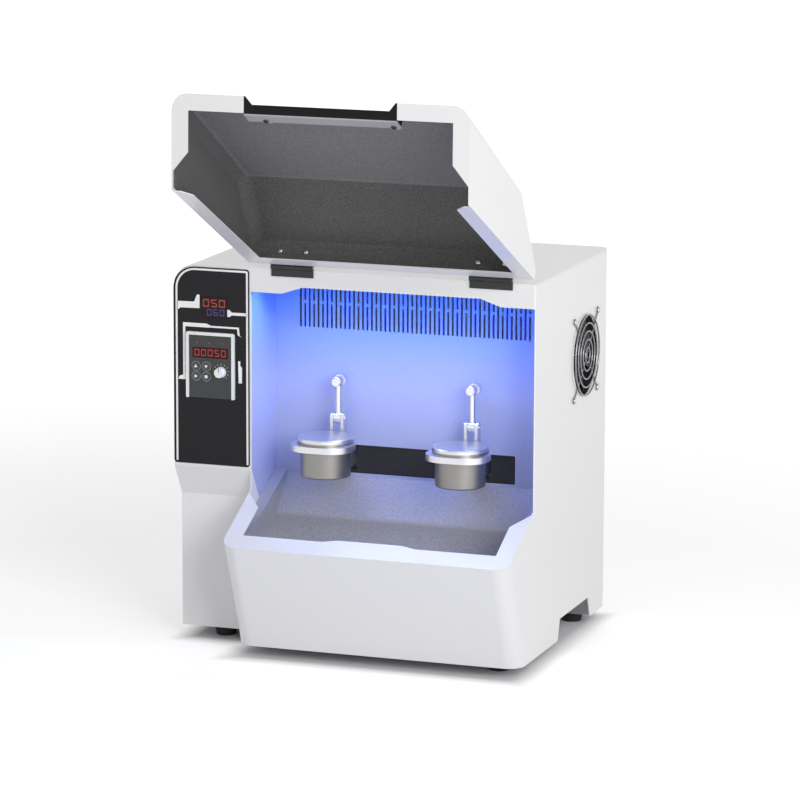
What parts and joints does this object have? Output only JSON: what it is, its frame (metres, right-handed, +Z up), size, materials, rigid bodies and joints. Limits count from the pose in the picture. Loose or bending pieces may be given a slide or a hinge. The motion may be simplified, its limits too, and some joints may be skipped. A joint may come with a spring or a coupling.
{
  "type": "vibratory ball mill",
  "caption": "Bench mill that shakes clamped grinding jars on a sprung frame in a lit chamber under a hinged lid, with a control column beside it.",
  "frame": {"origin": "on the floor, under the middle of the whole object's footprint with its lid open", "axes": "+X to the right of someone facing the control panel, +Y to the back, +Z up"},
  "size_m": [0.504, 0.6038, 0.7699],
  "materials": {
    "casing_white": "gloss paint",
    "chamber_white": "satin paint",
    "tray_grey": "hammered satin",
    "lid_lining": "grained matte",
    "black_plastic": "satin",
    "panel_black": "gloss",
    "drive_grey": "satin",
    "bezel_white": "satin",
    "key_grey": "satin",
    "lamp_white": "diffusing",
    "lamp_channel": "satin",
    "rubber_black": "matte",
    "steel_bright": "fine brushed",
    "jar_steel": "turned",
    "ball_steel": "polished",
    "guard_wire": "plated",
    "cast_iron": "painted",
    "frame_steel": "plain",
    "spring_steel": "oiled",
    "bracket_grey": "satin",
    "switch_red": "gloss"
  },
  "bodies": {
    "cabinet": {"front_apron": "casing_white", "front_fascia": "casing_white", "casing_left": "casing_white", "casing_right": "casing_white", "casing_top": "casing_white", "rear_cover": "casing_white", "base_pan": "frame_steel", "rubber_feet": "rubber_black", "sub_base": "cast_iron", "chamber_liner": "chamber_white", "back_wall": "chamber_white", "slot_seal": "rubber_black", "drip_tray": "tray_grey", "light_bar": "lamp_channel", "light_diffuser": "lamp_white", "control_panel": "panel_black", "timer_display": "panel_black", "speed_drive": "drive_grey", "drive_bezel": "bezel_white", "fan_housing": "black_plastic", "fan_guard": "guard_wire", "panel_screws": "steel_bright", "power_inlet": "black_plastic", "hinge_body_leaves": "black_plastic", "hinge_pins": "steel_bright", "springs": "spring_steel"},
    "lid": {"lid_shell": "casing_white", "lid_liner": "lid_lining", "lid_pull": "black_plastic", "pull_bracket": "bracket_grey", "lid_screws": "steel_bright", "hinge_lid_leaves": "black_plastic"},
    "shaker": {"vibrating_frame": "frame_steel", "holder_left": "steel_bright", "holder_right": "steel_bright", "clamp_pins": "steel_bright", "motor_housing": "cast_iron", "motor_bearings": "steel_bright", "motor_covers": "frame_steel"},
    "rotor": {"motor_shaft": "steel_bright", "eccentric_weights": "cast_iron"},
    "fan": {"fan_rotor": "black_plastic"},
    "dial": {"speed_dial": "drive_grey"},
    "rocker": {"power_rocker": "switch_red"},
    "key_1": {"key_button_1": "key_grey"},
    "key_2": {"key_button_2": "key_grey"},
    "key_3": {"key_button_3": "key_grey"},
    "key_4": {"key_button_4": "key_grey"},
    "jar_left": {"jar_left": "jar_steel", "grinding_balls_left": "ball_steel"},
    "cover_left": {"jar_cover_left": "steel_bright"},
    "lever_left": {"clamp_lever_left": "steel_bright"},
    "plunger_left": {"clamp_pad_left": "steel_bright"},
    "nut_left": {"thumb_nut_left": "steel_bright"},
    "jar_right": {"jar_right": "jar_steel", "grinding_balls_right": "ball_steel"},
    "cover_right": {"jar_cover_right": "steel_bright"},
    "lever_right": {"clamp_lever_right": "steel_bright"},
    "plunger_right": {"clamp_pad_right": "steel_bright"},
    "nut_right": {"thumb_nut_right": "steel_bright"}
  },
  "joints": [
    {"name": "lid_hinge", "type": "hinge", "parent": "cabinet", "child": "lid", "pos_m": [0.054, -0.0309, 0.514], "axis": [1, 0, 0], "range_deg": [0, 116.5]},
    {"name": "shaker_bounce", "type": "slide", "parent": "cabinet", "child": "shaker", "axis": [0, 0, 1], "range_m": [-0.0035, 0.0035], "stiffness_N_per_m": 60000, "springref_m": 0.00296, "deforming": ["springs"]},
    {"name": "motor_spin", "type": "hinge", "parent": "shaker", "child": "rotor", "pos_m": [0.0503, 0.1856, 0.19], "axis": [1, 0, 0], "continuous": true},
    {"name": "fan_spin", "type": "hinge", "parent": "cabinet", "child": "fan", "pos_m": [0.236, 0.1923, 0.3808], "axis": [1, 0, 0], "continuous": true},
    {"name": "dial_turn", "type": "hinge", "parent": "cabinet", "child": "dial", "pos_m": [-0.1813, -0.0374, 0.3692], "axis": [0, 1, 0], "range_deg": [-135, 135]},
    {"name": "rocker_tilt", "type": "hinge", "parent": "cabinet", "child": "rocker", "pos_m": [-0.196, 0.2981, 0.092], "axis": [1, 0, 0], "range_deg": [-16, 0]},
    {"name": "key_1_press", "type": "slide", "parent": "cabinet", "child": "key_1", "axis": [0, 1, 0], "range_m": [0, 0.001], "stiffness_N_per_m": 600},
    {"name": "key_2_press", "type": "slide", "parent": "cabinet", "child": "key_2", "axis": [0, 1, 0], "range_m": [0, 0.001], "stiffness_N_per_m": 600},
    {"name": "key_3_press", "type": "slide", "parent": "cabinet", "child": "key_3", "axis": [0, 1, 0], "range_m": [0, 0.001], "stiffness_N_per_m": 600},
    {"name": "key_4_press", "type": "slide", "parent": "cabinet", "child": "key_4", "axis": [0, 1, 0], "range_m": [0, 0.001], "stiffness_N_per_m": 600},
    {"name": "jar_left_lift", "type": "slide", "parent": "shaker", "child": "jar_left", "axis": [0, 0, 1], "range_m": [0, 0.05]},
    {"name": "cover_left_lift", "type": "slide", "parent": "jar_left", "child": "cover_left", "axis": [0, 0, 1], "range_m": [0, 0.03]},
    {"name": "lever_left_swing", "type": "hinge", "parent": "shaker", "child": "lever_left", "pos_m": [-0.0429, 0.0376, 0.305], "axis": [-1, 0, 0], "range_deg": [-90, 0]},
    {"name": "nut_left_turn", "type": "hinge", "parent": "lever_left", "child": "nut_left", "pos_m": [-0.0429, 0.0466, 0.354], "axis": [0, 1, 0], "range_deg": [-1728, 0]},
    {"name": "plunger_left_slide", "type": "slide", "parent": "lever_left", "child": "plunger_left", "axis": [0, 1, 0], "range_m": [-0.0048, 0]},
    {"name": "jar_right_lift", "type": "slide", "parent": "shaker", "child": "jar_right", "axis": [0, 0, 1], "range_m": [0, 0.05]},
    {"name": "cover_right_lift", "type": "slide", "parent": "jar_right", "child": "cover_right", "axis": [0, 0, 1], "range_m": [0, 0.03]},
    {"name": "lever_right_swing", "type": "hinge", "parent": "shaker", "child": "lever_right", "pos_m": [0.1435, 0.0376, 0.305], "axis": [-1, 0, 0], "range_deg": [-90, 0]},
    {"name": "nut_right_turn", "type": "hinge", "parent": "lever_right", "child": "nut_right", "pos_m": [0.1435, 0.0466, 0.354], "axis": [0, 1, 0], "range_deg": [-1728, 0]},
    {"name": "plunger_right_slide", "type": "slide", "parent": "lever_right", "child": "plunger_right", "axis": [0, 1, 0], "range_m": [-0.0048, 0]}
  ],
  "couplings": [
    {"joint": "nut_left_turn", "follows": "plunger_left_slide", "rad_per_m": 6283.2},
    {"joint": "nut_right_turn", "follows": "plunger_right_slide", "rad_per_m": 6283.2}
  ]
}
